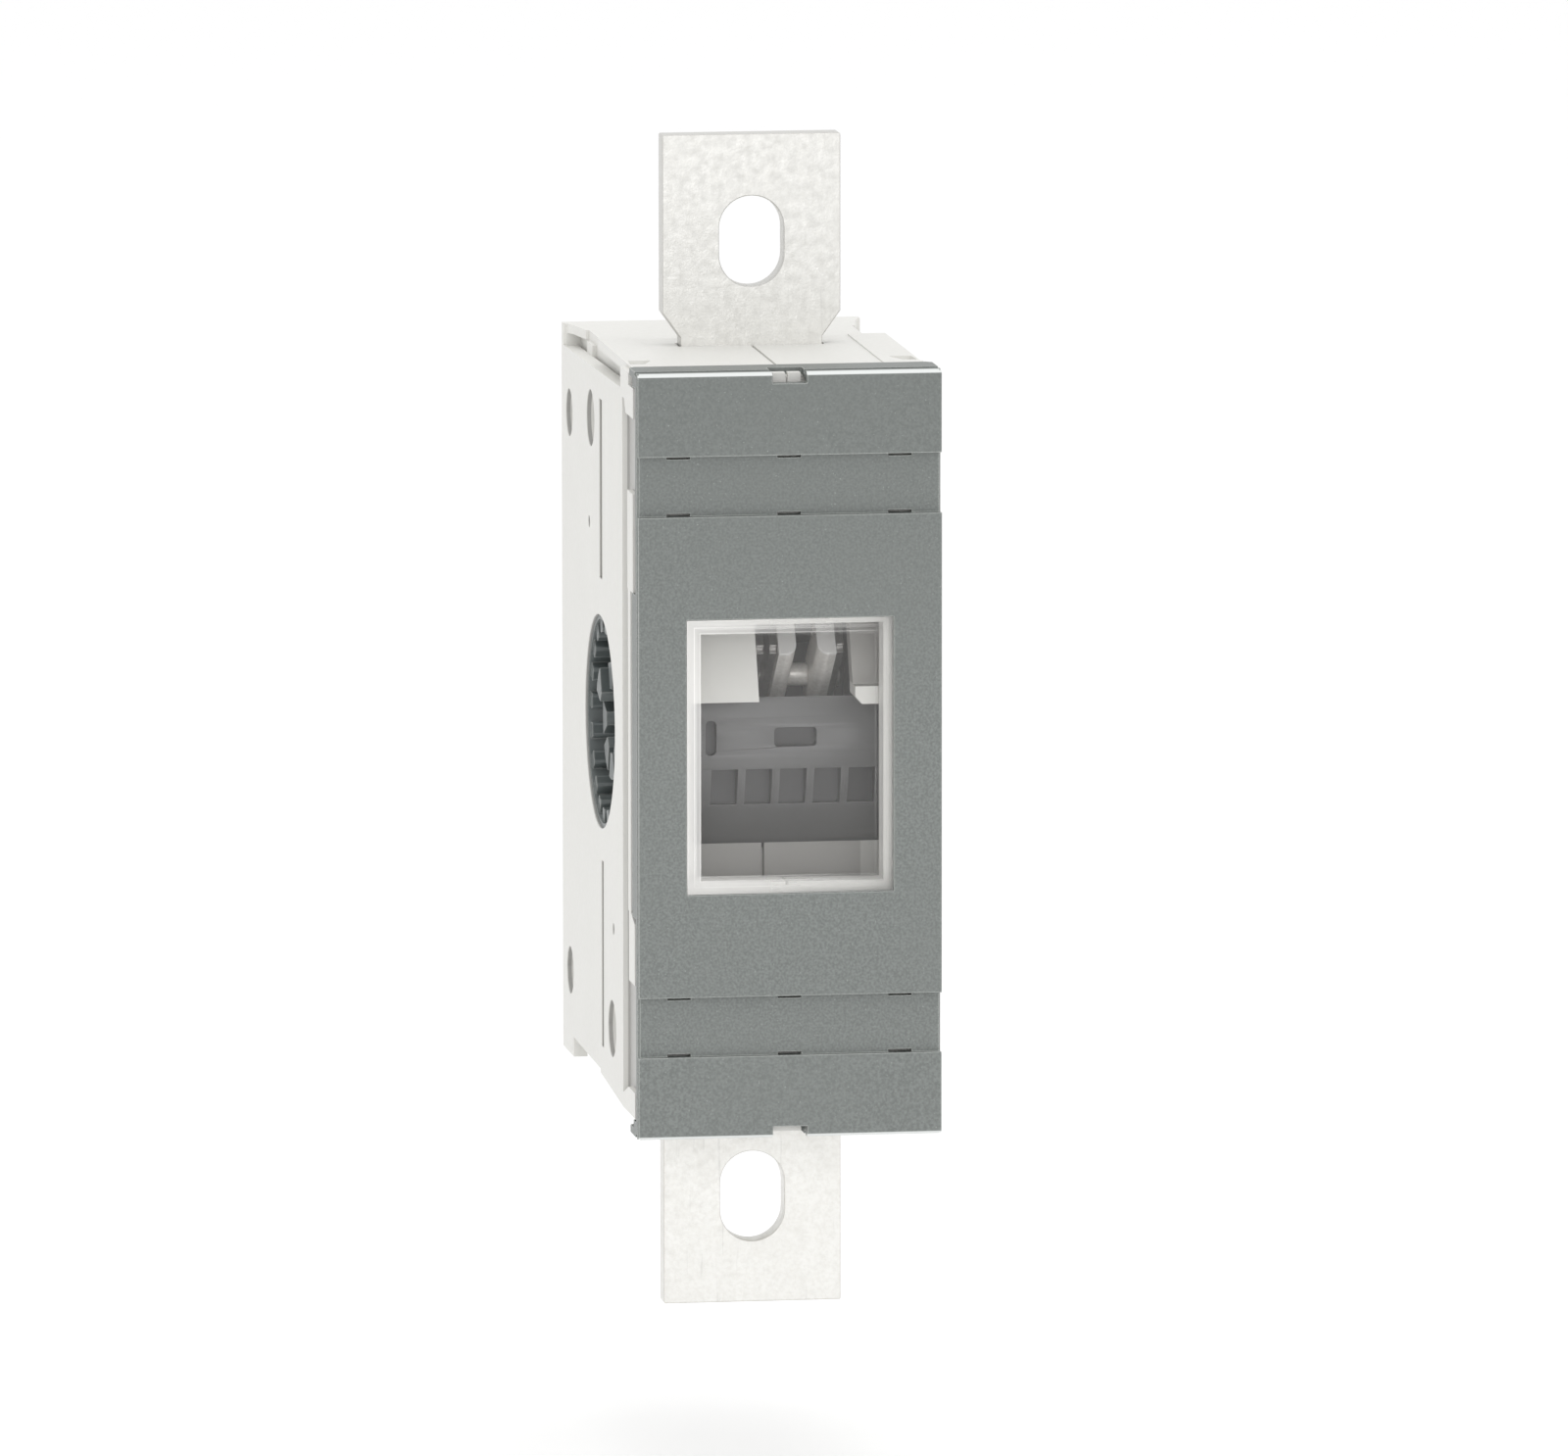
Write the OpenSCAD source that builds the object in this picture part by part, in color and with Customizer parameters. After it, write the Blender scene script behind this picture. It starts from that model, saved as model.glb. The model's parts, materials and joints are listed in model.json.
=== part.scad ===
// One pole of a rotary switch-disconnector, open position.
// X runs across the pole, Y runs back towards the mounting face at y = 0, Z runs up.
// The rotor turns about an axis along X at half the pole's depth and height.

/* [Pole] */
// Width of one pole, which is also the pitch between poles
pole_w = 65; // [64:0.5:72]
// Depth from the mounting face to the front of the cover
body_d = 118; // [114:1:126]
// Height of the front cover
cover_h = 163.8; // [162:0.2:172]
// General wall thickness of the moulded housing
wall_t = 3; // [2.4:0.1:3.4]

/* [Front cover] */
// Height of the raised middle band of the cover
band_h = 102.8; // [96:0.2:108]
// Height over the two recessed bands beside it
recess_h = 128.4; // [122:0.2:134]
// How far the recessed bands lie behind the middle band
recess_d = 1.6; // [0.8:0.1:1.8]
// Depth of the lip that reaches back over the roof
lip_d = 14.5; // [12:0.5:15]

/* [Window] */
// Width of the window opening
window_w = 44.4; // [40:0.2:46]
// Height of the window opening
window_h = 58.8; // [54:0.2:62]
// Depth of the clear tray behind the front
tray_d = 6.6; // [5:0.1:7.5]

/* [Terminals] */
// Distance between the centres of the two terminal slots
slot_pitch = 206.8; // [204:0.2:212]
// Width of a terminal slot
slot_w = 14; // [11:0.5:15]
// Length of a terminal slot
slot_l = 19.6; // [16:0.2:22]
// Width of a terminal bar
bar_w = 38.4; // [34:0.2:42]
// Thickness of a terminal bar
bar_t = 6; // [5:0.2:6]
// Overall height over both terminal bars
overall_h = 252.8; // [248:0.2:262]

/* [Contacts] */
// Angle the rotor turns from open to closed
throw_deg = 52; // [48:1:54]
// Distance from the rotor axis to a blade tip
blade_r = 36.3; // [35:0.1:37]
// Width of a blade
blade_w = 10.6; // [10:0.2:12.4]
// Thickness of a blade
blade_t = 3.9; // [3.2:0.1:4]
// Thickness of a leaf spring
spring_t = 1.6; // [1:0.1:1.8]

/* [Rotor] */
// Radius of the rotor drum
drum_r = 30; // [29:0.1:30.2]
// Radius of the coupling that turns in the side wall
neck_r = 23; // [21:0.1:24]
// Number of teeth on the rim of a coupling
rim_teeth = 20; // [12:1:24]
// Number of lobes on the hub of a coupling
hub_lobes = 8; // [6:1:10]

/* [Hidden] */
$fn = 64;
cut = 1;                          // overshoot of a cutting shape past the face it cuts
skin = 0.2;                       // gap between pieces that face each other without touching

half_w = pole_w / 2;
cover_z = cover_h / 2;
front_y = -body_d;
axis_y = -body_d / 2;

// Housing levels
deck_z = cover_z - 2.6;           // deck and rear flange
flange_d = 16;                    // depth of the rear flange
flange_t = 2;
rear_t = 2.6;                     // upright edge behind the flange's corners
roof_z = cover_z - 0.6;           // roof plate on the deck
roof_w = half_w - 1.3;
roof_front_y = front_y + 15;
roof_back_y = front_y + 71;
strip_x = 23;                     // the plate is a little higher outside this line
strip_t = 0.3;
deck_w = half_w - 3.8;            // the deck stops short of the side wall and leaves a groove
rim_back_z = cover_z - 7.3;       // upper edge of the side wall at the back
rim_front_z = cover_z - 5.8;      // and at the front
rib_z = cover_z - 1.3;            // side wall where it rises to the roof
rib_y = front_y + 27;
keel_front_z = cover_z - 3.7;     // lower edge of the side wall, as positive heights
keel_mid_z = cover_z - 5.7;
keel_back_z = cover_z - 6.9;
web_t = 2.6;                      // inner partitions
seam = 0.3;                       // half the width of the crack where the housing halves meet
inner_x = half_w - wall_t;        // inner face of the side wall
band_y = front_y + 24;            // front edge of the full-thickness side wall
band_in = 1.5;                    // how far the front band lies inside the side wall
face_y = front_y + 5.2;           // front face of the housing's front wall
face_t = 2.6;
face_z = cover_z - 2.8;
sleeve_y = front_y + 11.7;        // back of the sleeve round the window opening
sleeve_t = 1.4;
partition_y = front_y + 40.4;

// Cover
side_d = 4.6;                     // depth of the cover's short sides
side_gap = 3.2;                   // shadow gap between the cover's sides and the housing
flap_d = 9.7;                     // the sides are deeper over the middle
flap_t = 1.3;
flap_low = -35;
flap_high = 34.4;
hook_z = cover_z - 3.4;           // lower end of the hooks at the lip's outer corners
hook_t = 1.1;
lip_t = 1.6;
bevel_d = 1.2;                    // bevel along the cover's upper and lower front edges
bevel_h = 0.6;
cover_t = 1.4;
end_in = 0.4;                     // the end bands lie this far behind the middle band
band_z = band_h / 2;
recess_z = recess_h / 2;
notch_w = 7.4;
notch_h = 2.4;
relief_w = 5;                     // small slots along the steps
relief_h = 0.6;
relief_pitch = 23.7;

// Window tray
rim_d = 5;                        // depth of the solid rim that rests on the housing
tray_wall = 1.5;
tray_w = window_w - 3.4;
tray_h = window_h - 4;
pocket_r = 2;

// Side wall holes, named by their place
tie_y = 16;                       // tie-rod bores lie this far either side of tie_mid_y
tie_mid_y = front_y + 57;
tie_z = 63.9;
tie_r = 3.3;
tie_pocket_r = 6.15;
tie_pocket_d = 8;
boss_r = 6;
mark_d = 1.9;                     // depth of the two upright marks
screw_y = -11.8;
screw_z = 61;
screw_r = 2;
screw_pocket_r = 5.2;
screw_pocket_d = 5;
insert_x = 21;
insert_z = 44;
insert_r = 2.5;                   // bore of an M6 insert
insert_outer_r = 4.2;
insert_l = 9;

// Contacts
pair_pitch = 17.2;
pair_x = [7.8, 7.8 - pair_pitch]; // middle of the right and of the left blade pair
blade_gap = 4.6;                  // clear gap between the blades of a pair
spring_gap = 0.2;
spring_w = 8.4;
spring_r = blade_r - 0.4;
knife_t = blade_gap - 0.4;
knife_w = 13;
knife_low_z = drum_r + 0.6;
knife_top_z = 60;
bar_low_z = 47;
neck_w = bar_w - 7.9;
shoulder_z = overall_h / 2 - 38.2;
shoulder_h = 5.5;
corner_r = 1.2;

// Rotor
drum_x = 26;
pocket_half = 11;                 // half the width of the drum's blade pocket
pocket_floor = 13;
pocket_x = [-19.4, 18.6];
neck_x = half_w - 0.5;
seat_x = 21;
base_t = 2;
rim_t = 1;
tooth_w = 3.3;
tooth_h = 3.4;
tooth_phase = 5;                  // turn of the teeth from the case's axes when open
hub_r = 12.6;
hub_bore_r = 7;
hub_slot = 2.6;
hub_phase = 19;
hub_in = 1.9;                     // the lobes end this far inside the rim, but for the key lobe
sleeve_at = 18.5;
sleeve_r = 2.4;
pin_r = 1.5;
pin_head_r = 2.6;
pin_head_t = 1.1;

// Arc chutes
plate_deg = [11, 17, 23, 29, 35];
plate_t = 1.2;
plate_in_r = 31.4;
plate_mid_r = 38.6;
plate_out_r = 46.5;
plate_x = [-20.8, 19.2];
plate_leg = 1.9;
frame_t = 1.5;

function from_front(d) = front_y + d;

// ---- Shared shapes ----

// A box from its low corner to its high corner
module block(low, high) {
    translate(low) cube(high - low);
}

// An outline in Y and Z, drawn out along X from x0 to x1
module along_x(x0, x1) {
    translate([x0, 0, 0]) rotate([90, 0, 90]) linear_extrude(x1 - x0) children();
}

// An outline in X and Z, drawn out along Y from y0 back to y1
module along_y(y0, y1) {
    translate([0, y1, 0]) rotate([90, 0, 0]) linear_extrude(y1 - y0) children();
}

// A round bar along X
module rod_x(x0, x1, y, z, r) {
    translate([x0, y, z]) rotate([0, 90, 0]) cylinder(h = x1 - x0, r = r);
}

module rod_y(y0, y1, x, z, r) {
    translate([x, y1, z]) rotate([90, 0, 0]) cylinder(h = y1 - y0, r = r);
}

// A rectangle with round corners, centred
module soft_rect(w, h, r) {
    square([w - 2 * r, h], center = true);
    square([w, h - 2 * r], center = true);
    for (sx = [-1, 1], sz = [-1, 1])
        translate([sx * (w / 2 - r), sz * (h / 2 - r)]) circle(r = r);
}

// Places its children in the rotor's frame: X across, Z outwards along the blades when open
module on_rotor() {
    translate([0, axis_y, 0]) rotate([throw_deg, 0, 0]) children();
}

// Half a turn about the rotor axis, from the upper contacts to the lower ones
module opposite() {
    translate([0, axis_y, 0]) rotate([180, 0, 0]) translate([0, -axis_y, 0]) children();
}

// ---- Housing ----

// Side wall outline in Y and Z
module side_outline() {
    polygon([
        [0, -deck_z], [0, deck_z], [-rear_t, deck_z], [-rear_t, rim_back_z],
        [rib_y, rim_front_z], [rib_y, rib_z], [band_y, rib_z],
        [band_y, -keel_front_z], [axis_y, -keel_mid_z], [axis_y, -keel_mid_z + 0.8],
        [-flange_d - 1, -keel_back_z], [-flange_d - 1, -deck_z]
    ]);
}

// Raised pads and strips on the front band, which meet the cover's side
module band_pads() {
    pad_y = from_front(side_d + side_gap);
    along_x(half_w - band_in - 0.4, half_w) {
        polygon([
            [band_y, 74.4], [from_front(21.4), 74.4], [from_front(19), 71.6], [pad_y, 71.6],
            [pad_y, hook_z - 0.4], [roof_front_y, hook_z - 0.4], [roof_front_y, rib_z], [band_y, rib_z]
        ]);
        translate([pad_y + 0.6, flap_high]) square([8.2, 21.1]);
        translate([from_front(flap_d + 2.4), flap_low + 0.4]) square([4, flap_high - flap_low]);
        polygon([
            [from_front(flap_d + 2.4), flap_low + 0.5], [from_front(6.3), flap_low - 1.4],
            [from_front(6.3), -49.5], [from_front(15), -49.5], [from_front(15), flap_low + 0.5]
        ]);
        polygon([
            [band_y, -75], [band_y, -keel_front_z], [from_front(9), 0.4 - hook_z],
            [from_front(6.3), 0.4 - hook_z], [from_front(6.3), -72.6], [from_front(16), -72.6]
        ]);
    }
}

// Roof deck with the plate on it, and the rear flange with its slanted corner
module roof() {
    deck_low = deck_z - flange_t - wall_t;
    block([0, face_y + face_t - cut, deck_low], [deck_w, 0, deck_z]);
    block([0, face_y + face_t, deck_z - 0.2], [roof_w - 5, roof_front_y + cut, cover_z - lip_t]);
    block([0, roof_front_y, deck_z - 0.2], [strip_x + cut, roof_back_y, roof_z - strip_t]);
    block([strip_x, roof_front_y, roof_z - 2.1], [roof_w, roof_back_y, roof_z]);
    translate([0, 0, deck_z - flange_t]) linear_extrude(flange_t) polygon([
        [deck_w - cut, 0], [half_w - 0.5, 0], [half_w - 0.5, -rear_t],
        [half_w - 1.8, -7], [half_w - 3.1, -flange_d], [deck_w - cut, -flange_d]
    ]);
    // posts between the groove and the plates over it
    block([deck_w - cut, -28, rim_back_z - 3], [half_w - 2.8, -20, deck_z - flange_t + 0.1]);
    block([deck_w - cut, from_front(33), rim_front_z - 3], [half_w - 2.6, from_front(35), roof_z - 2]);
    block([deck_w - cut, from_front(40), rim_front_z - 3], [half_w - 3.4, from_front(41), roof_z - 2]);
}

// Sloping floor of the groove between the side wall and the deck, and the web inside it
module groove(sign) {
    outer_z = sign > 0 ? rim_back_z - 0.3 : keel_back_z;
    inner_top = sign > 0 ? rib_z : keel_front_z - 1;
    mirror([0, 0, sign > 0 ? 0 : 1]) {
        along_y(rib_y - 3, -rear_t + cut) polygon([
            [deck_w - web_t, outer_z - 5], [deck_w - web_t, outer_z - 2], [deck_w, outer_z - 2],
            [half_w - cut, outer_z], [half_w - cut, outer_z - 5]
        ]);
        block(
            [deck_w - web_t, face_y + face_t - cut, outer_z - 5],
            [deck_w, -wall_t + cut, deck_z - 1]
        );
        block([deck_w - cut, band_y, outer_z - 5], [inner_x + cut, rib_y - 1, inner_top]);
    }
}

// Wall in front of the lower fixed contact, closing the space under the drum
module partition() {
    block([0, partition_y, -72], [inner_x + 1, partition_y + web_t, -24]);
}

// Everything solid in one half of the housing, on the +X side
module half_solid() {
    along_x(inner_x, half_w) side_outline();
    block([inner_x - 0.6, face_y, -face_z], [half_w - band_in, band_y + 2, face_z - 3]);
    band_pads();
    block([0, -wall_t - 0.6, -deck_z], [half_w - 0.5, 0, deck_z]);
    roof();
    block([0, face_y + face_t - cut, -deck_z], [deck_w, 0, -deck_z + wall_t]);
    groove(1);
    groove(-1);
    // front wall, the sleeve round the window opening, and the tabs in the cover's notches
    block([0, face_y, -face_z], [half_w - cover_t - skin, face_y + face_t, face_z]);
    block([0, face_y, -tray_h / 2 - sleeve_t], [tray_w / 2 + sleeve_t, sleeve_y, tray_h / 2 + sleeve_t]);
    for (s = [-1, 1])
        translate([0, face_y, s * (face_z + 0.9) - 1.2]) cube([3, face_t, 2.4]);
    // bearing ring for the rotor coupling
    rod_x(drum_x + 0.4, inner_x + 1, axis_y, 0, neck_r + 4.5);
    // partitions behind the fixed contacts
    partition();
    opposite() partition();
    // bosses
    for (s = [-1, 1]) {
        rod_x(0, half_w - 1, tie_mid_y + s * tie_y, s * tie_z, boss_r);
        rod_x(half_w - tie_pocket_d - 2.5, half_w - 1, tie_mid_y + s * tie_y, s * tie_z, tie_pocket_r + 2);
        rod_x(0, half_w - 1, screw_y, s * screw_z, boss_r + 1);
        block([insert_x - 7, -insert_l - 3, s * insert_z - 7], [inner_x + 1, -1, s * insert_z + 7]);
    }
    // clamping ribs round the terminal necks
    for (s = [-1, 1])
        block(
            [0, axis_y - bar_t / 2 - 3, s > 0 ? 68 : -79],
            [deck_w - 1, axis_y + bar_t / 2 + 3, s > 0 ? 79 : -68]
        );
}

// Everything cut out of one half, on the +X side
module half_cuts() {
    // window opening
    along_y(front_y, sleeve_y + cut) square([tray_w + 0.4, tray_h + 0.4], center = true);
    // crack along the parting line, where it shows
    block([-cut, face_y - cut, face_z - 0.6], [seam / 2, face_y + 1, cover_z]);
    block([-cut, front_y, roof_z - 1], [seam, -wall_t, roof_z + cut]);
    block([-cut, face_y - cut, -tray_h / 2 - 0.9], [seam, sleeve_y + cut, 0]);
    block([-cut, partition_y - cut, -60], [seam, partition_y + web_t - 0.6, 0]);
    // rotor bearing and drum space
    rod_x(inner_x - 8, half_w + cut, axis_y, 0, neck_r + 0.06);
    rod_x(-cut, drum_x + 0.35, axis_y, 0, drum_r + 0.6);
    // terminal slots
    for (s = [-1, 1]) {
        translate([-cut, axis_y - bar_t / 2, s * 75 - 15]) cube([neck_w / 2 + 0.5 + cut, bar_t, 30]);
        rod_x(-cut, half_w + cut, tie_mid_y + s * tie_y, s * tie_z, tie_r);
        rod_x(half_w - tie_pocket_d, half_w + cut, tie_mid_y + s * tie_y, s * tie_z, tie_pocket_r);
        rod_x(-cut, half_w + cut, screw_y, s * screw_z, screw_r + 0.1);
        rod_x(half_w - screw_pocket_d, half_w + cut, screw_y, s * screw_z, screw_pocket_r);
        rod_y(-insert_l, cut, insert_x, s * insert_z, insert_outer_r);
    }
    // shallow pockets at the roof's front corners
    translate([0, 0, roof_z - 0.7]) linear_extrude(2) polygon([
        [25.5, from_front(30)], [30.4, from_front(30)], [30.8, from_front(23.5)], [27.8, from_front(23.5)]
    ]);
    // marks on the side face
    block([half_w - mark_d, axis_y - 3.8, 31.1], [half_w + cut, axis_y + 0.4, 69.8]);
    block([half_w - mark_d, axis_y - 5.2, -70.1], [half_w + cut, axis_y - 2, -29.7]);
    rod_x(half_w - 1, half_w + cut, from_front(75.3), 41.2, 1.35);
    rod_x(half_w - 1, half_w + cut, from_front(38.8), -42, 1.35);
}

module housing_half() {
    difference() {
        half_solid();
        half_cuts();
    }
}

// Sloping baffle in front of the blades; it leans back towards the top
module baffle(x0, x1, depth, low_z, high_z) {
    lean = 0.445 * (high_z - low_z);
    thick = 4.6;
    along_x(x0, x1) polygon([
        [from_front(depth), low_z], [from_front(depth + lean), high_z],
        [from_front(depth + lean + thick), high_z], [from_front(depth + thick), low_z]
    ]);
}

module housing_left() {
    color([0.89, 0.89, 0.86]) {
        mirror([1, 0, 0]) housing_half();
        baffle(-inner_x - 1, -4.9, 12, 10, 33);
    }
}

module housing_right() {
    color([0.89, 0.89, 0.86]) {
        housing_half();
        baffle(16, inner_x + 1, 17, 12, 32);
        along_y(from_front(13), from_front(21)) polygon([
            [15.9, 12.8], [15.9, 10.6], [17.3, 9], [inner_x + 1, 9], [inner_x + 1, 12.8]
        ]);
    }
}

// ---- Front cover ----

// Outer profile of the cover in Y and Z, front to the left
module cover_profile() {
    end_y = front_y + end_in;
    polygon([
        [from_front(side_d), -cover_z],
        [end_y + bevel_d, -cover_z], [end_y, -cover_z + bevel_h],
        [end_y, -recess_z], [front_y + recess_d, -recess_z],
        [front_y + recess_d, -band_z], [front_y, -band_z],
        [front_y, band_z], [front_y + recess_d, band_z],
        [front_y + recess_d, recess_z], [end_y, recess_z],
        [end_y, cover_z - bevel_h], [end_y + bevel_d, cover_z],
        [from_front(side_d), cover_z]
    ]);
}

// Lip that reaches back over the roof, with its hooked outer corners
module cover_lip() {
    corner = 1.7;
    difference() {
        block([-half_w, from_front(1.8), cover_z - lip_t], [half_w, from_front(lip_d), cover_z]);
        for (s = [-1, 1])
            translate([s * half_w, from_front(lip_d), cover_z - lip_t])
                rotate([0, 0, 45]) cube([corner, corner, 3 * lip_t], center = true);
    }
    for (s = [-1, 1])
        translate([s * (half_w - hook_t / 2), 0, 0])
            block([-hook_t / 2, from_front(side_d) - cut, hook_z], [hook_t / 2, from_front(8.6), cover_z]);
}

// Shadow line that runs over the lip and down the cover's sides, just behind the front face
module cover_line() {
    along_x(-half_w - cut, half_w + cut)
        for (s = [-1, 1])
            translate([from_front(4.45), s * cover_z]) square([2.3, 1.6], center = true);
    for (s = [-1, 1])
        translate([s * half_w, from_front(1.8), 0]) cube([0.8, 1.2, cover_h + cut], center = true);
}

module front_cover() {
    color([0.47, 0.50, 0.48])
        difference() {
            union() {
                along_x(-half_w, half_w) cover_profile();
                cover_lip();
                mirror([0, 0, 1]) cover_lip();
                for (x = [-half_w, half_w - flap_t])
                    block([x, from_front(side_d) - cut, flap_low], [x + flap_t, from_front(flap_d), flap_high]);
            }
            // hollow behind the front
            block(
                [-half_w + cover_t, front_y + 3, -cover_z + 1.6],
                [half_w - cover_t, from_front(lip_d) + cut, cover_z - 1.6]
            );
            cover_line();
            // window opening
            along_y(front_y - cut, front_y + 5) square([window_w, window_h], center = true);
            // notches over the parting line of the housing
            for (s = [-1, 1])
                translate([-notch_w / 2, front_y - cut, s * cover_z - notch_h])
                    cube([notch_w, 10.5, 2 * notch_h]);
            // relief slots along the four steps
            for (x = [-relief_pitch, 0, relief_pitch], s = [-1, 1]) {
                for (z = [band_z + relief_h / 2, recess_z - relief_h / 2])
                    translate([x - relief_w / 2, front_y - cut, s * z - relief_h / 2])
                        cube([relief_w, 6, relief_h]);
            }
        }
}

// ---- Window ----

module window() {
    color([0.93, 0.95, 0.95, 0.35])
        difference() {
            union() {
                along_y(front_y + 0.1, front_y + rim_d)
                    square([window_w - skin, window_h - skin], center = true);
                along_y(front_y + 0.1, front_y + tray_d) soft_rect(tray_w, tray_h, pocket_r + tray_wall);
            }
            along_y(front_y - cut, front_y + tray_d - tray_wall)
                soft_rect(tray_w - 2 * tray_wall, tray_h - 2 * tray_wall, pocket_r);
        }
}

// ---- Terminals and fixed contacts ----

// Flat bar with a slotted lug, a waist through the roof and notches for the knives
module terminal() {
    tip = overall_h / 2;
    difference() {
        along_y(axis_y - bar_t / 2, axis_y + bar_t / 2) difference() {
            polygon([
                [-bar_w / 2, tip], [bar_w / 2, tip],
                [bar_w / 2, shoulder_z], [neck_w / 2, shoulder_z - shoulder_h],
                [neck_w / 2, bar_low_z], [-neck_w / 2, bar_low_z],
                [-neck_w / 2, shoulder_z - shoulder_h], [-bar_w / 2, shoulder_z]
            ]);
            for (x = pair_x)
                translate([x - knife_t / 2, bar_low_z - cut])
                    square([knife_t, knife_top_z - bar_low_z + cut]);
        }
        // slot with round ends
        for (s = [-1, 1])
            rod_y(axis_y - bar_t, axis_y + bar_t, 0, slot_pitch / 2 + s * (slot_l - slot_w) / 2, slot_w / 2);
        block(
            [-slot_w / 2, axis_y - bar_t, slot_pitch / 2 - (slot_l - slot_w) / 2],
            [slot_w / 2, axis_y + bar_t, slot_pitch / 2 + (slot_l - slot_w) / 2]
        );
    }
}

module upper_terminal() {
    color([0.84, 0.84, 0.82]) terminal();
}

module lower_terminal() {
    color([0.84, 0.84, 0.82]) mirror([0, 0, 1]) terminal();
}

// Knife plates that the blades grip, with a wedge-shaped leading edge
module contact_knives() {
    for (x = pair_x)
        difference() {
            block(
                [x - knife_t / 2, axis_y - knife_w / 2, knife_low_z],
                [x + knife_t / 2, axis_y + knife_w / 2, knife_top_z]
            );
            for (s = [-1, 1])
                translate([x + s * knife_t / 2, axis_y - knife_w / 2, 0])
                    rotate([0, 0, 45]) cube([1.6, 1.6, 2 * knife_top_z], center = true);
        }
}

module upper_contact_knives() {
    color([0.80, 0.78, 0.74]) contact_knives();
}

module lower_contact_knives() {
    color([0.80, 0.78, 0.74]) opposite() contact_knives();
}

// ---- Arc chutes ----

// Steel plates in front of the fixed contact, slotted for the blades
module arc_plates() {
    for (a = plate_deg)
        translate([0, axis_y, 0]) rotate([a, 0, 0])
            along_y(-plate_t / 2, plate_t / 2) difference() {
                translate([plate_x[0], plate_in_r])
                    square([plate_x[1] - plate_x[0], plate_out_r - plate_in_r]);
                translate([plate_x[0] + plate_leg, plate_in_r - cut])
                    square([plate_x[1] - plate_x[0] - 2 * plate_leg, plate_mid_r - plate_in_r + cut]);
                for (x = pair_x)
                    translate([x, plate_mid_r]) circle(r = 2.4);
            }
}

// Insulating side frames that hold the plates
module arc_frames() {
    for (x = [plate_x[0] - frame_t, plate_x[1]])
        translate([0, axis_y, 0])
            along_x(x, x + frame_t) polygon([
                for (a = [8, 16, 24, 32, 38]) [-31 * sin(a), 31 * cos(a)],
                for (a = [38, 32, 24, 16, 8]) [-48 * sin(a), 48 * cos(a)]
            ]);
}

module upper_arc_plates() {
    color([0.55, 0.55, 0.54]) arc_plates();
}

module lower_arc_plates() {
    color([0.55, 0.55, 0.54]) opposite() arc_plates();
}

module upper_arc_frames() {
    color([0.62, 0.60, 0.56]) arc_frames();
}

module lower_arc_frames() {
    color([0.62, 0.60, 0.56]) opposite() arc_frames();
}

// ---- Rotor ----

// X span of one blade, and of the spring outside it; side is -1 or +1 within its pair
function blade_low(pair, side) = pair_x[pair] + (side > 0 ? blade_gap / 2 : -blade_gap / 2 - blade_t);
function spring_low(pair, side) =
    side > 0 ? blade_low(pair, side) + blade_t + spring_gap : blade_low(pair, side) - spring_gap - spring_t;

module rotor_drum() {
    color([0.40, 0.41, 0.42])
        on_rotor() difference() {
            rod_x(-drum_x, drum_x, 0, 0, drum_r);
            // seats for the couplings
            for (s = [-1, 1])
                rod_x(s > 0 ? seat_x : -drum_x - cut, s > 0 ? drum_x + cut : -seat_x, 0, 0, neck_r + 0.05);
            // pockets that open towards the fixed contacts
            for (s = [-1, 1])
                block(
                    [pocket_x[0], -pocket_half, s > 0 ? pocket_floor : -drum_r - cut],
                    [pocket_x[1], pocket_half, s > 0 ? drum_r + cut : -pocket_floor]
                );
            // passages for the blades and springs
            for (pair = [0, 1], side = [-1, 1]) {
                x0 = min(blade_low(pair, side), spring_low(pair, side)) - 0.05;
                x1 = max(blade_low(pair, side) + blade_t, spring_low(pair, side) + spring_t) + 0.05;
                block([x0, -blade_w / 2 - 0.05, -drum_r], [x1, blade_w / 2 + 0.05, drum_r]);
            }
            drum_marks();
            rotate([180, 0, 0]) drum_marks();
        }
}

// Recesses moulded into the drum where it faces the window
module drum_marks() {
    rotate([-throw_deg, 0, 0]) {
        // wide slot
        along_y(-drum_r - cut, -drum_r + 3.4) translate([5.4, 0]) soft_rect(9.2, 4.2, 0.9);
        // upright slot
        along_y(-drum_r - cut, -drum_r + 2.6) translate([-12.8, 0]) soft_rect(2.4, 7.6, 1.1);
        // row of pockets
        for (i = [0 : 4])
            block([-12.6 + 7.4 * i, -drum_r - cut, -14.9], [-6.8 + 7.4 * i, -drum_r + 6, -6.9]);
    }
}

// Toothed cup that the neighbouring pole or the drive engages
module coupling() {
    difference() {
        rod_x(seat_x, neck_x, 0, 0, neck_r);
        rod_x(seat_x + base_t, neck_x + cut, 0, 0, neck_r - rim_t);
    }
    // teeth inside the rim
    for (i = [0 : rim_teeth - 1])
        rotate([i * 360 / rim_teeth + tooth_phase - throw_deg, 0, 0])
            along_x(seat_x + 1, neck_x - 0.5) translate([neck_r - 0.4 - tooth_h / 2, 0])
                soft_rect(tooth_h, tooth_w, 0.8);
    // hub lobes; the key lobe is taller than the others
    difference() {
        rod_x(seat_x + 1, neck_x - 0.4, 0, 0, hub_r);
        rod_x(seat_x + base_t, neck_x + cut, 0, 0, hub_bore_r);
        difference() {
            rod_x(neck_x - hub_in, neck_x + cut, 0, 0, hub_r + cut);
            rotate([hub_phase - 360 / hub_lobes - throw_deg, 0, 0]) key_wedge();
        }
        for (i = [0 : hub_lobes - 1])
            rotate([i * 360 / hub_lobes + hub_phase - throw_deg, 0, 0])
                block([seat_x + base_t, -hub_slot / 2, 0], [neck_x + cut, hub_slot / 2, hub_r + 2 * cut]);
    }
}

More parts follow.
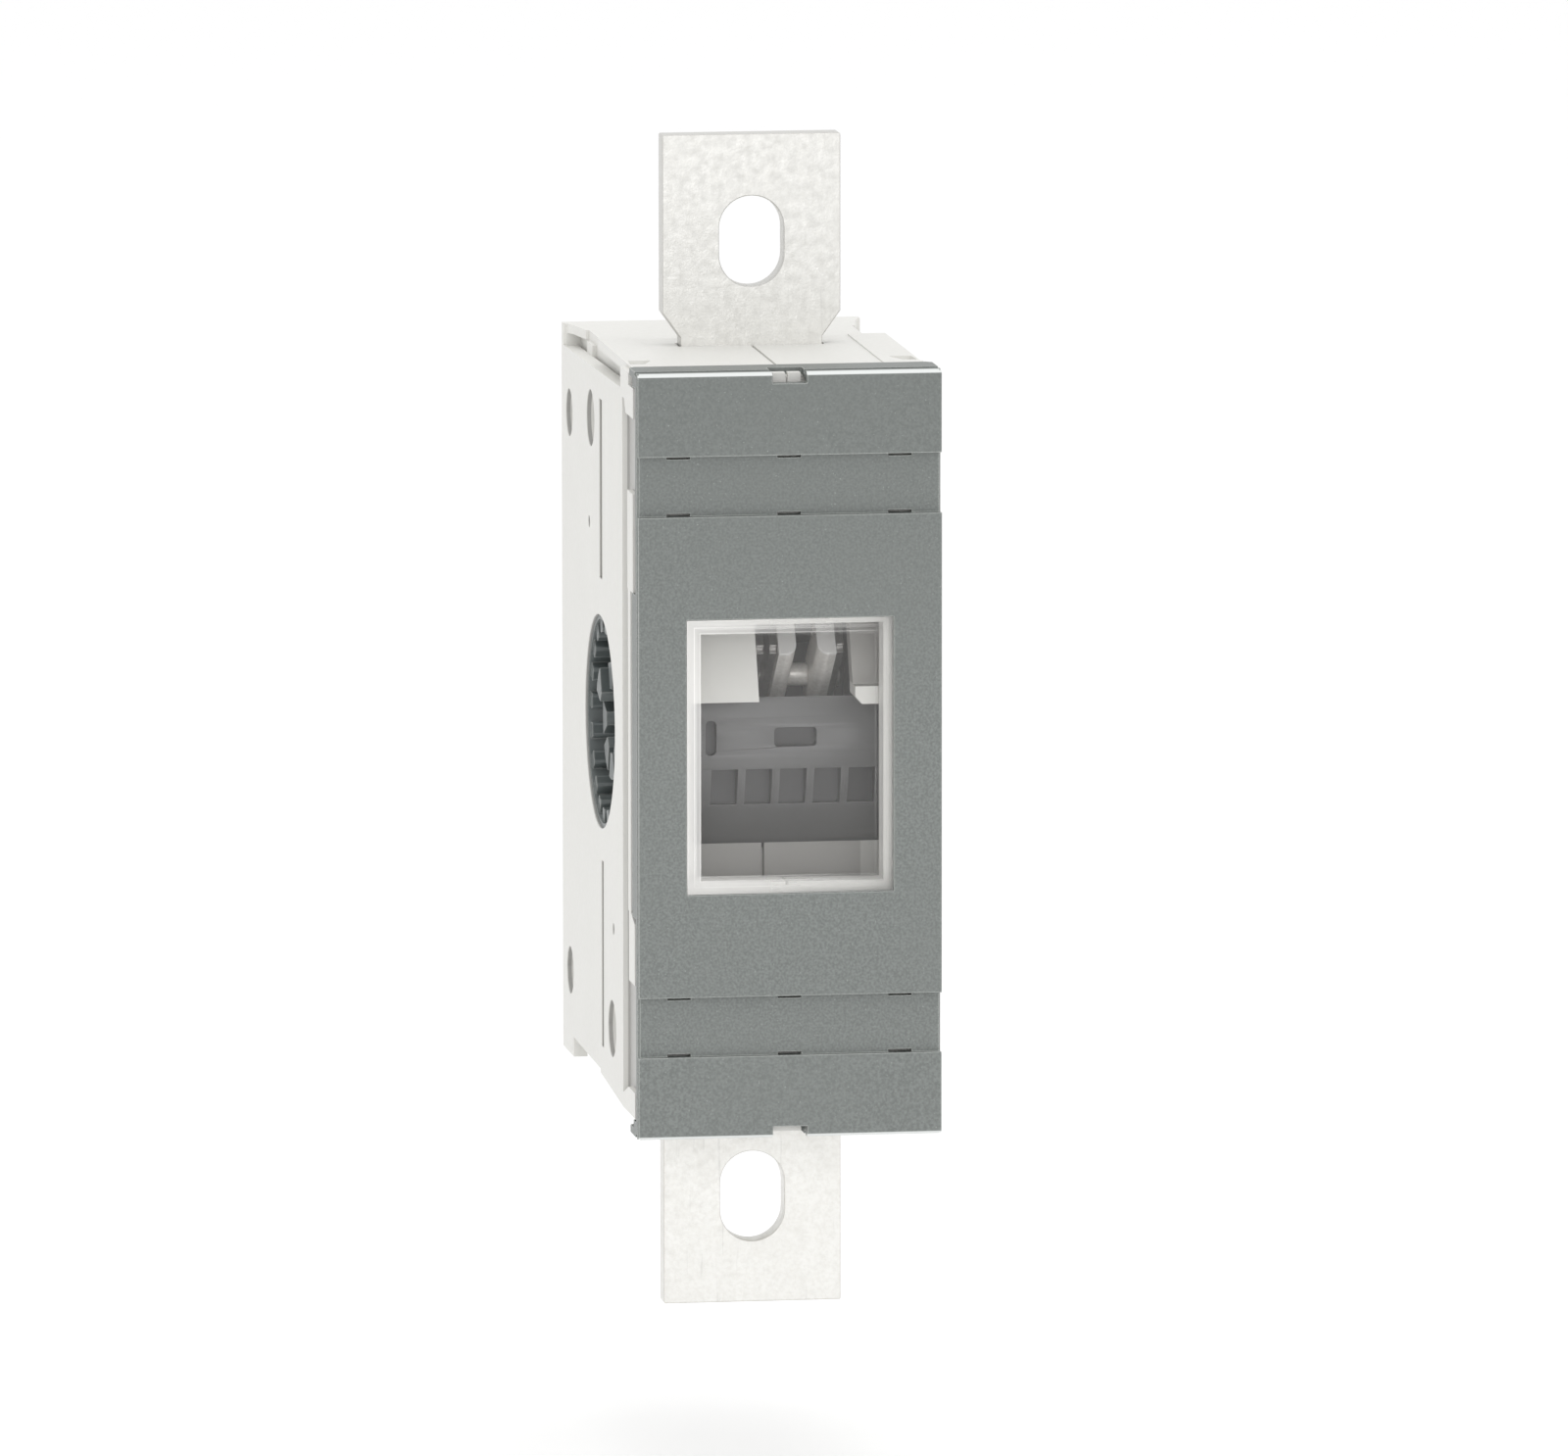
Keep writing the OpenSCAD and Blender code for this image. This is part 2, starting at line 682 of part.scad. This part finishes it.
// Sector over one lobe
module key_wedge() {
    reach = 2 * hub_r;
    turn = 360 / hub_lobes;
    along_x(seat_x, neck_x + 2 * cut) polygon([[0, 0], [0, reach], [reach * sin(turn), reach * cos(turn)]]);
}

module rotor_coupling_right() {
    color([0.36, 0.39, 0.39]) on_rotor() coupling();
}

module rotor_coupling_left() {
    color([0.36, 0.39, 0.39]) on_rotor() mirror([1, 0, 0]) coupling();
}

// Cross-section of a blade, with large round edges on the side that meets a knife
module blade_section() {
    edge_r = 2.4;
    intersection() {
        union() {
            translate([edge_r, -blade_w / 2]) square([blade_t, blade_w]);
            translate([0, -blade_w / 2 + edge_r]) square([blade_t, blade_w - 2 * edge_r]);
            for (s = [-1, 1])
                translate([edge_r, s * (blade_w / 2 - edge_r)]) circle(r = edge_r);
        }
        translate([0, -blade_w / 2]) square([blade_t, blade_w]);
    }
}

// Straight blade; side is -1 or +1 within its pair, and its knife side faces the pair's middle
module blade(pair, side) {
    color([0.80, 0.78, 0.75])
        on_rotor() difference() {
            translate([pair_x[pair] + side * blade_gap / 2, 0, -blade_r])
                mirror([side > 0 ? 0 : 1, 0, 0]) linear_extrude(2 * blade_r) blade_section();
            pin_holes();
        }
}

// Holes for the two cross pins
module pin_holes() {
    for (s = [-1, 1])
        rod_x(-60, 60, 0, s * sleeve_at, pin_r + 0.02);
}

module spring(pair, side) {
    color([0.68, 0.67, 0.64])
        on_rotor() difference() {
            translate([spring_low(pair, side), 0, 0]) along_x(0, spring_t) {
                square([spring_w, 2 * spring_r - 2 * corner_r], center = true);
                square([spring_w - 2 * corner_r, 2 * spring_r], center = true);
            }
            pin_holes();
        }
}

module blade_right_outer() { blade(0, 1); }
module blade_right_inner() { blade(0, -1); }
module blade_left_inner() { blade(1, 1); }
module blade_left_outer() { blade(1, -1); }
module spring_right_outer() { spring(0, 1); }
module spring_right_inner() { spring(0, -1); }
module spring_left_inner() { spring(1, 1); }
module spring_left_outer() { spring(1, -1); }

// Two pins across all the blades, with heads outside the outer springs
module blade_pins() {
    x0 = spring_low(1, -1);
    x1 = spring_low(0, 1) + spring_t;
    color([0.72, 0.72, 0.70])
        on_rotor() for (s = [-1, 1]) {
            rod_x(x0 - pin_head_t, x1 + pin_head_t, 0, s * sleeve_at, pin_r);
            rod_x(x0 - pin_head_t, x0, 0, s * sleeve_at, pin_head_r);
            rod_x(x1, x1 + pin_head_t, 0, s * sleeve_at, pin_head_r);
        }
}

// Sleeves that hold the blades of a pair apart
module blade_sleeves() {
    color([0.80, 0.74, 0.66])
        on_rotor() for (x = pair_x, s = [-1, 1])
            difference() {
                rod_x(x - blade_gap / 2, x + blade_gap / 2, 0, s * sleeve_at, sleeve_r);
                rod_x(x - blade_gap, x + blade_gap, 0, s * sleeve_at, pin_r + 0.02);
            }
}

// ---- Fasteners ----

// Screws that clamp the two housing halves
module case_screws() {
    x_head = half_w - screw_pocket_d;
    color([0.70, 0.70, 0.68])
        for (s = [-1, 1])
            difference() {
                union() {
                    rod_x(-x_head - 3, x_head, screw_y, s * screw_z, screw_r);
                    rod_x(x_head, x_head + 2.6, screw_y, s * screw_z, 3.9);
                }
                translate([x_head + 1.1, screw_y - 0.5, s * screw_z - 4.5]) cube([cut * 2, 1, 9]);
            }
}

module case_nuts() {
    x_seat = half_w - screw_pocket_d;
    color([0.70, 0.70, 0.68])
        for (s = [-1, 1])
            translate([-x_seat - 2.4, screw_y, s * screw_z]) rotate([0, 90, 0]) difference() {
                cylinder(h = 2.4, r = 4, $fn = 6);
                translate([0, 0, -cut]) cylinder(h = 2.4 + 2 * cut, r = screw_r + 0.02);
            }
}

// Threaded inserts in the rear face
module mounting_inserts() {
    color([0.72, 0.60, 0.34])
        for (sx = [-1, 1], sz = [-1, 1])
            difference() {
                rod_y(-insert_l, 0, sx * insert_x, sz * insert_z, insert_outer_r);
                rod_y(-insert_l + 1, cut, sx * insert_x, sz * insert_z, insert_r);
            }
}

housing_left();
housing_right();
front_cover();
window();
upper_terminal();
lower_terminal();
upper_contact_knives();
lower_contact_knives();
upper_arc_plates();
lower_arc_plates();
upper_arc_frames();
lower_arc_frames();
rotor_drum();
rotor_coupling_left();
rotor_coupling_right();
blade_left_outer();
blade_left_inner();
blade_right_inner();
blade_right_outer();
spring_left_outer();
spring_left_inner();
spring_right_inner();
spring_right_outer();
blade_pins();
blade_sleeves();
case_screws();
case_nuts();
mounting_inserts();
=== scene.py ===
import bpy
import json
import math
from mathutils import Matrix, Vector


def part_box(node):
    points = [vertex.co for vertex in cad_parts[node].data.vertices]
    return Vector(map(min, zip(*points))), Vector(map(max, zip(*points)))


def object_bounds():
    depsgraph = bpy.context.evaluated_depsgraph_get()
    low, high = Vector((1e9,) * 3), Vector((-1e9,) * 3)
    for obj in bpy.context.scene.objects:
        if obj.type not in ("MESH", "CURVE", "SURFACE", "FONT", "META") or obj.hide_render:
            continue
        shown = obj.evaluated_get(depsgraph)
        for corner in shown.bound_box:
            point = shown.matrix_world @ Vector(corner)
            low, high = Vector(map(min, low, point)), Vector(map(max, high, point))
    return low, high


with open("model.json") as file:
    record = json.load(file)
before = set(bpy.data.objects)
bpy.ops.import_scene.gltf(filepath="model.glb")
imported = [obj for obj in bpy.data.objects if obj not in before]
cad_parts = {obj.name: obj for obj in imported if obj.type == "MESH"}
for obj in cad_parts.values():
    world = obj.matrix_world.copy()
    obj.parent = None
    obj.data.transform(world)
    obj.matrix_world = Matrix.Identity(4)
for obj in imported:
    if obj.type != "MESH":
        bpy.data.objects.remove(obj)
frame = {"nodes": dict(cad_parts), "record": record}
cad_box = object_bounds()
nodes = frame["nodes"]
MM = 0.001
ROTOR_AXIS_Y = frame["record"]["behaviour"]["joints"][0]["pos_m"][1]

# ---- Camera: a long lens, to the left of the pole and a little above it ----

CAMERA_TARGET = Vector((0.007394, -0.059, -0.002300))
CAMERA_DISTANCE = 4.418075
CAMERA_YAW = math.radians(8.46398)
CAMERA_PITCH = math.radians(7.95780)
CAMERA_ROLL = math.radians(0.03715)
CAMERA_LENS = 472.392


def make_camera():
    data = bpy.data.cameras.new("camera")
    data.lens = CAMERA_LENS
    data.sensor_width = 36.0
    data.sensor_fit = "HORIZONTAL"
    data.clip_start = 0.1
    data.clip_end = 50.0
    cam = bpy.data.objects.new("camera", data)
    bpy.context.scene.collection.objects.link(cam)
    turn = (
        Matrix.Rotation(-CAMERA_YAW, 4, "Z")
        @ Matrix.Rotation(math.pi / 2 - CAMERA_PITCH, 4, "X")
        @ Matrix.Rotation(-CAMERA_ROLL, 4, "Z")
    )
    forward = turn.to_3x3() @ Vector((0, 0, -1))
    cam.matrix_world = Matrix.Translation(CAMERA_TARGET - forward * CAMERA_DISTANCE) @ turn
    bpy.context.scene.camera = cam


# ---- Materials ----

DRUM_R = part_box("rotor_drum")[1][2]
BLADE_TIP_R = 36.3 * MM
BLADE_METALLIC = 0.3
TIP_METALLIC = 0.1
WINDOW_RIM = 2.9 * MM
PANE_HAZE = 0.042
# The rim's frosting with painted light, from its left edge to its right; the strength of its painted
# highlight lines from left to right; and each line's start and width in from the edge
RIM_FROST_AND_PAINTED_LIGHT = (0.46, 0.0)
RIM_LINE_HIGHLIGHT = (0.62, 0.12)
RIM_HIGHLIGHT_LINES = ((0.0, 0.2 * MM), (1.45 * MM, 0.2 * MM), (2.7 * MM, 0.2 * MM))

# Boxes of painted shade in the housing, with their colours: inside the case behind the window, and on the
# right-hand baffle; corners in millimetres: across, back from the cover's front, and up
HOUSING_PAINTED_SHADE = (
    ((-21, 28, -32), (21, 56, 32), (0.50, 0.49, 0.47)),
    ((15.5, 12.5, 13), (24, 30, 34), (0.43, 0.42, 0.40)),
)
SHARP = 0.1 * MM
HOUSING_TOP = 80
# Painted shade on the recessed band beside each of the cover's sides, in the gaps between the cover and the
# housing, and on the floors of the side marks; places in millimetres as above
BAND_X = (30.5, 31.4)
BAND_Y = (5, 24)
BAND_PAINTED_SHADE = (0.45, 0.445, 0.43)
COVER_GAPS = ((4.6, 8.0, 35, 80), (4.6, 8.0, -80, -35.4), (9.7, 11.8, -35, 34.6))
GAP_PAINTED_SHADE = (0.17, 0.17, 0.165)
MARK_X = (31.5, 32.3)
MARK_Y = (25, 114)
MARK_TOP = 72
MARK_PAINTED_SHADE = (0.34, 0.335, 0.32)


def from_front(x, back, z):
    """A place in metres from millimetres across, back from the cover's front, and up."""
    return (x * MM, cad_box[0][1] + back * MM, z * MM)


class Shader:
    """One node material, with short calls for the nodes that the materials here share."""

    def __init__(self, name, color, roughness, **sockets):
        self.material = bpy.data.materials.new(name)
        self.material.use_nodes = True
        self.nodes = self.material.node_tree.nodes
        self.links = self.material.node_tree.links
        self.bsdf = self.nodes["Principled BSDF"]
        self.base = (*color, 1.0)
        self.bsdf.inputs["Base Color"].default_value = self.base
        self.bsdf.inputs["Roughness"].default_value = roughness
        for key, value in sockets.items():
            self.bsdf.inputs[key.replace("_", " ")].default_value = value
        self.coords = self.nodes.new("ShaderNodeTexCoord").outputs["Object"]
        self.color = None
        self.height = None

    def noise(self, scale, detail=3.0, stretch=(1, 1, 1), distortion=0.0):
        mapping = self.nodes.new("ShaderNodeMapping")
        mapping.inputs["Scale"].default_value = [scale * s for s in stretch]
        self.links.new(self.coords, mapping.inputs["Vector"])
        tex = self.nodes.new("ShaderNodeTexNoise")
        tex.inputs["Scale"].default_value = 1.0
        tex.inputs["Detail"].default_value = detail
        tex.inputs["Distortion"].default_value = distortion
        self.links.new(mapping.outputs["Vector"], tex.inputs["Vector"])
        return tex.outputs["Fac"]

    def ramp(self, source, low, high, a=0.0, b=1.0):
        node = self.nodes.new("ShaderNodeMapRange")
        node.inputs["From Min"].default_value = low
        node.inputs["From Max"].default_value = high
        node.inputs["To Min"].default_value = a
        node.inputs["To Max"].default_value = b
        self.links.new(source, node.inputs["Value"])
        return node.outputs["Result"]

    def math(self, operation, a, b):
        node = self.nodes.new("ShaderNodeMath")
        node.operation = operation
        for socket, value in zip(node.inputs, (a, b)):
            if isinstance(value, (int, float)):
                socket.default_value = value
            else:
                self.links.new(value, socket)
        return node.outputs["Value"]

    def axis(self, letter):
        """One of the object's own coordinates, in metres."""
        node = self.nodes.new("ShaderNodeSeparateXYZ")
        self.links.new(self.coords, node.inputs["Vector"])
        return node.outputs[letter]

    def inside(self, low, high, soft=0.3 * MM):
        """A mask that is 1 in a box of the object's own coordinates."""
        mask = 1.0
        for letter, a, b in zip("XYZ", low, high):
            value = self.axis(letter)
            mask = self.math("MULTIPLY", self.ramp(value, a - soft, a), mask)
            mask = self.math("MULTIPLY", self.ramp(value, b, b + soft, 1.0, 0.0), mask)
        return mask

    def rotor_radius(self):
        """Distance from the rotor's axis."""
        y = self.math("SUBTRACT", self.axis("Y"), ROTOR_AXIS_Y)
        z = self.axis("Z")
        squares = [self.math("MULTIPLY", value, value) for value in (y, z)]
        return self.math("SQRT", self.math("ADD", *squares), 0)

    def tint(self, mask, color):
        """Blends the colour so far towards another one by a mask."""
        mix = self.nodes.new("ShaderNodeMix")
        mix.data_type = "RGBA"
        a, b = [s for s in mix.inputs if s.type == "RGBA"]
        if self.color is None:
            a.default_value = self.base
        else:
            self.links.new(self.color, a)
        b.default_value = (*color, 1.0)
        self.links.new(mask, mix.inputs["Factor"])
        self.color = [s for s in mix.outputs if s.type == "RGBA"][0]
        self.links.new(self.color, self.bsdf.inputs["Base Color"])

    def bump(self, height, distance, strength=1.0):
        node = self.nodes.new("ShaderNodeBump")
        node.inputs["Strength"].default_value = strength
        node.inputs["Distance"].default_value = distance
        self.links.new(height, node.inputs["Height"])
        if self.height is not None:
            self.links.new(self.height, node.inputs["Normal"])
        self.height = node.outputs["Normal"]
        self.links.new(self.height, self.bsdf.inputs["Normal"])

    def roughen(self, mask, low, high):
        self.links.new(self.ramp(mask, 0.3, 0.7, low, high), self.bsdf.inputs["Roughness"])

    def edges(self, radius, low=0.02, high=0.25):
        """A mask that is 1 along convex and concave edges, from how far a bevelled normal turns."""
        bevel = self.nodes.new("ShaderNodeBevel")
        bevel.samples = 4
        bevel.inputs["Radius"].default_value = radius
        geometry = self.nodes.new("ShaderNodeNewGeometry")
        dot = self.nodes.new("ShaderNodeVectorMath")
        dot.operation = "DOT_PRODUCT"
        self.links.new(bevel.outputs["Normal"], dot.inputs[0])
        self.links.new(geometry.outputs["Normal"], dot.inputs[1])
        return self.ramp(self.math("SUBTRACT", 1.0, dot.outputs["Value"]), low, high)


def moulded(name, color, roughness, grain, shade, edge=None, edge_amount=0.6):
    """Moulded plastic: fine grain in the height, slow mottling in the colour, lighter edges."""
    s = Shader(name, color, roughness)
    s.tint(s.ramp(s.noise(60.0, 4.0), 0.35, 0.65, 0.0, 0.5), shade)
    if edge:
        s.tint(s.ramp(s.edges(0.5 * MM), 0.0, 1.0, 0.0, edge_amount), edge)
    s.bump(s.noise(4200.0, 2.0), grain)
    s.roughen(s.noise(900.0, 2.0), roughness - 0.06, roughness + 0.06)
    return s


def metal(name, color, shade, roughness, edge=None, scratch=0.3, metallic=1.0):
    """Plated metal: fine mottled plating, long faint scratches and edges of another shade."""
    s = Shader(name, color, roughness, Metallic=metallic)
    s.tint(s.ramp(s.noise(1300.0, 5.0), 0.40, 0.66, 0.0, 0.8), shade)
    s.tint(s.ramp(s.noise(110.0, 3.0), 0.45, 0.70, 0.0, 0.4), shade)
    scratches = s.noise(900.0, 2.0, stretch=(1.0, 1.0, 0.05), distortion=0.3)
    s.tint(s.ramp(scratches, 0.66, 0.71, 0.0, scratch), tuple(0.7 * c for c in color))
    if edge:
        s.tint(s.ramp(s.edges(0.4 * MM), 0.0, 1.0, 0.0, 0.7), edge)
    s.bump(s.noise(1900.0, 3.0), 0.03 * MM)
    s.bump(scratches, 0.03 * MM, 0.5)
    s.roughen(s.noise(500.0, 3.0), roughness - 0.08, roughness + 0.10)
    return s


def housing_material():
    """Pale moulded plastic, with painted shade inside the case behind the window, on the recessed bands and
    in the gaps beside the cover, and on the floors of the side marks.
    """
    s = moulded("housing_plastic", (0.71, 0.705, 0.675), 0.46, 0.02 * MM, (0.69, 0.685, 0.655))
    # Painted shade inside the case, behind the window and on the right-hand baffle
    for low, high, color in HOUSING_PAINTED_SHADE:
        s.tint(s.inside(from_front(*low), from_front(*high)), color)
    # Painted shade on both sides: the recessed band beside the cover, the gaps beside it and the floors of
    # the side marks
    for side in (-1, 1):
        near, far = sorted(side * x for x in BAND_X)
        band_low = from_front(near, BAND_Y[0], -HOUSING_TOP)
        band_high = from_front(far, BAND_Y[1], HOUSING_TOP)
        s.tint(s.inside(band_low, band_high, SHARP), BAND_PAINTED_SHADE)
        for start, end, low_z, high_z in COVER_GAPS:
            s.tint(s.inside(from_front(near, start, low_z), from_front(far, end, high_z), SHARP), GAP_PAINTED_SHADE)
        near, far = sorted(side * x for x in MARK_X)
        mark_low = from_front(near, MARK_Y[0], -MARK_TOP)
        mark_high = from_front(far, MARK_Y[1], MARK_TOP)
        s.tint(s.inside(mark_low, mark_high, 0.5 * SHARP), MARK_PAINTED_SHADE)
    return s.material


def cover_material():
    """Grey plastic with a speckled grain, painted highlights along its edges and along the bevel at its top
    and bottom, and painted shade darker towards its top.
    """
    s = Shader("cover_plastic", (0.130, 0.142, 0.135), 0.42)
    s.tint(s.ramp(s.noise(1900.0, 3.0), 0.36, 0.64, 0.0, 0.9), (0.196, 0.212, 0.203))
    s.tint(s.ramp(s.noise(30.0, 2.0), 0.4, 0.7, 0.0, 0.3), (0.165, 0.178, 0.169))
    # Painted shade: the cover darker towards its top
    s.tint(s.ramp(s.axis("Z"), 0.0, 80 * MM, 0.0, 0.5), (0.118, 0.130, 0.123))
    s.tint(s.ramp(s.noise(2600.0, 1.0), 0.72, 0.78, 0.0, 0.5), (0.40, 0.42, 0.40))
    # Painted highlights along the cover's edges
    s.tint(s.ramp(s.edges(0.4 * MM), 0.0, 1.0, 0.0, 0.9), (0.60, 0.62, 0.59))
    # Painted highlight: a light band along the bevel at the top and bottom of the front
    low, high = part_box("front_cover")
    above = s.ramp(s.math("ABSOLUTE", s.axis("Z"), 0), high[2] - 0.75 * MM, high[2] - 0.6 * MM)
    ahead = s.ramp(s.axis("Y"), low[1] + 1.5 * MM, low[1] + 1.7 * MM, 1.0, 0.0)
    s.tint(s.math("MULTIPLY", above, ahead), (0.68, 0.70, 0.69))
    s.bump(s.noise(3400.0, 2.0), 0.03 * MM)
    return s.material


def window_material():
    """Clear plastic: a faint haze on the pane, and a frosted rim with painted light, lightest on the left and
    gone on the right, with painted highlight lines along its steps.
    """
    s = Shader("clear_plastic", (0.95, 0.94, 0.92), 0.06, IOR=1.5)
    s.tint(s.ramp(s.noise(40.0, 2.0), 0.4, 0.7, 0.0, 0.3), (0.90, 0.89, 0.87))
    low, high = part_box("window")
    inward = s.math(
        "MINIMUM",
        s.math("SUBTRACT", high[0], s.math("ABSOLUTE", s.axis("X"), 0)),
        s.math("SUBTRACT", high[2], s.math("ABSOLUTE", s.axis("Z"), 0)),
    )
    # Frosted rim with painted light, fading from left to right
    milk = s.ramp(s.axis("X"), low[0], high[0], *RIM_FROST_AND_PAINTED_LIGHT)
    # Painted highlight lines, weaker to the right and near the bottom
    line_highlight = s.math(
        "MULTIPLY",
        s.ramp(s.axis("X"), low[0], high[0], *RIM_LINE_HIGHLIGHT),
        s.ramp(s.axis("Z"), low[2], low[2] + 5 * MM, 0.7, 1.0),
    )
    rim = s.ramp(inward, WINDOW_RIM, WINDOW_RIM + 0.1 * MM, 1.0, 0.0)
    alpha = s.math("MAXIMUM", s.math("MULTIPLY", rim, milk), PANE_HAZE)
    for start, width in RIM_HIGHLIGHT_LINES:
        line = s.math(
            "MULTIPLY",
            s.ramp(inward, start - 0.08 * MM, start),
            s.ramp(inward, start + width, start + width + 0.08 * MM, 1.0, 0.0),
        )
        alpha = s.math("MAXIMUM", alpha, s.math("MULTIPLY", line, line_highlight))
    s.links.new(alpha, s.bsdf.inputs["Alpha"])
    s.bump(s.noise(90.0, 1.0), 0.03 * MM)
    s.roughen(s.noise(600.0, 3.0), 0.04, 0.12)
    return s.material


def terminal_material():
    """Tin-plated bars, with painted shade darkening the upper one."""
    s = metal("tin_plate", (0.75, 0.745, 0.72), (0.69, 0.68, 0.65), 0.45, (0.55, 0.51, 0.41))
    # Painted shade: darker towards the top
    s.tint(s.ramp(s.axis("Z"), 0.0, 80 * MM, 0.0, 0.6), (0.54, 0.535, 0.515))
    return s.material


def contact_material():
    """Silver-plated blades and knives, with painted highlights on the faces at the blades' tips."""
    s = metal(
        "silver_plate", (0.92, 0.90, 0.86), (0.76, 0.73, 0.69), 0.42, (0.96, 0.93, 0.88),
        metallic=BLADE_METALLIC,
    )
    # Painted highlight: the blades' tips nearly white and less metallic
    tip_highlight = s.ramp(s.rotor_radius(), BLADE_TIP_R - 0.5 * MM, BLADE_TIP_R - 0.3 * MM)
    s.tint(tip_highlight, (0.97, 0.96, 0.94))
    s.links.new(s.ramp(tip_highlight, 0.0, 1.0, BLADE_METALLIC, TIP_METALLIC), s.bsdf.inputs["Metallic"])
    return s.material


def spring_material():
    return metal("spring_steel", (0.52, 0.51, 0.50), (0.42, 0.41, 0.40), 0.38, (0.66, 0.64, 0.62)).material


def arc_steel_material():
    return metal("arc_plate_steel", (0.45, 0.45, 0.44), (0.35, 0.34, 0.33), 0.5, (0.3, 0.29, 0.27)).material


def fastener_material():
    return metal("zinc_plate", (0.68, 0.68, 0.66), (0.60, 0.59, 0.55), 0.4, (0.5, 0.49, 0.46)).material


def insert_material():
    return metal("plain_brass", (0.74, 0.58, 0.30), (0.62, 0.46, 0.22), 0.36, (0.5, 0.38, 0.18)).material


def drum_material():
    """Dark moulded drum, with painted shade inside its recesses, darker than on its turned face."""
    s = moulded(
        "drum_plastic", (0.155, 0.155, 0.158), 0.40, 0.008 * MM,
        (0.178, 0.177, 0.178), (0.34, 0.34, 0.34), 0.5,
    )
    # Painted shade inside the drum's recesses
    s.tint(s.ramp(s.rotor_radius(), DRUM_R - 0.3 * MM, DRUM_R - 0.6 * MM), (0.045, 0.045, 0.048))
    return s.material


def coupling_material():
    s = moulded(
        "coupling_plastic", (0.085, 0.10, 0.10), 0.36, 0.03 * MM, (0.12, 0.135, 0.13), (0.42, 0.43, 0.41), 0.7
    )
    return s.material


def board_material():
    return moulded("fibre_board", (0.42, 0.38, 0.30), 0.7, 0.05 * MM, (0.34, 0.30, 0.24)).material


MATERIALS = {
    "housing": housing_material,
    "cover": cover_material,
    "window": window_material,
    "terminal": terminal_material,
    "contact": contact_material,
    "spring": spring_material,
    "arc_steel": arc_steel_material,
    "arc_board": board_material,
    "drum": drum_material,
    "coupling": coupling_material,
    "fastener": fastener_material,
    "insert": insert_material,
}

# Edge radius of each slot's pieces, in millimetres
EDGE_RADIUS = {
    "housing": 0.25,
    "cover": 0.25,
    "window": 0.3,
    "terminal": 0.25,
    "contact": 0.25,
    "spring": 0.15,
    "arc_steel": 0.1,
    "arc_board": 0.1,
    "drum": 0.25,
    "coupling": 0.45,
    "fastener": 0.15,
    "insert": 0.1,
}


def round_edges(obj, radius):
    """Welds the imported mesh's split vertices, then rounds its edges."""
    weld = obj.modifiers.new("weld", "WELD")
    weld.merge_threshold = 0.001 * MM
    bevel = obj.modifiers.new("edges", "BEVEL")
    bevel.width = radius * MM
    bevel.segments = 2
    bevel.limit_method = "ANGLE"
    bevel.angle_limit = math.radians(40)
    bevel.use_clamp_overlap = True
    bevel.harden_normals = True
    bevel.miter_outer = "MITER_ARC"


def dress_nodes():
    made = {slot: make() for slot, make in MATERIALS.items()}
    for part in frame["record"]["subparts"]:
        obj = nodes[part["node"]]
        slot = part["material_slot"]
        obj.data.materials.clear()
        obj.data.materials.append(made[slot])
        round_edges(obj, EDGE_RADIUS[slot])


# ---- Studio ----

FLOOR_Z = -0.160
FLOOR_SIZE = 12.0


def make_floor():
    half = FLOOR_SIZE / 2
    mesh = bpy.data.meshes.new("floor")
    corners = [(-half, -half), (half, -half), (half, half), (-half, half)]
    mesh.from_pydata([(x, y, FLOOR_Z) for x, y in corners], [], [(0, 1, 2, 3)])
    floor = bpy.data.objects.new("floor", mesh)
    bpy.context.scene.collection.objects.link(floor)
    s = Shader("floor_white", (0.97, 0.97, 0.97), 0.9)
    s.tint(s.ramp(s.noise(3.0, 2.0), 0.3, 0.7, 0.0, 0.2), (0.96, 0.96, 0.96))
    mesh.materials.append(s.material)


def area_light(name, place, target, size, power):
    data = bpy.data.lights.new(name, "AREA")
    data.shape = "RECTANGLE"
    data.size, data.size_y = size
    data.energy = power
    light = bpy.data.objects.new(name, data)
    light.location = place
    light.rotation_euler = (Vector(target) - Vector(place)).to_track_quat("-Z", "Y").to_euler()
    bpy.context.scene.collection.objects.link(light)


def make_studio():
    world = bpy.data.worlds.new("studio")
    world.use_nodes = True
    background = world.node_tree.nodes["Background"]
    background.inputs["Color"].default_value = (1.0, 1.0, 1.0, 1.0)
    background.inputs["Strength"].default_value = 1.02
    bpy.context.scene.world = world
    centre = (0, -0.06, 0)
    area_light("front", (-0.1, -2.2, 0.35), centre, (0.8, 0.6), 6.5)
    area_light("top", (0.1, -0.3, 1.6), centre, (1.0, 1.0), 5.0)
    settings = bpy.context.scene.view_settings
    settings.view_transform = "Standard"
    settings.look = "None"


make_camera()
dress_nodes()
make_floor()
make_studio()
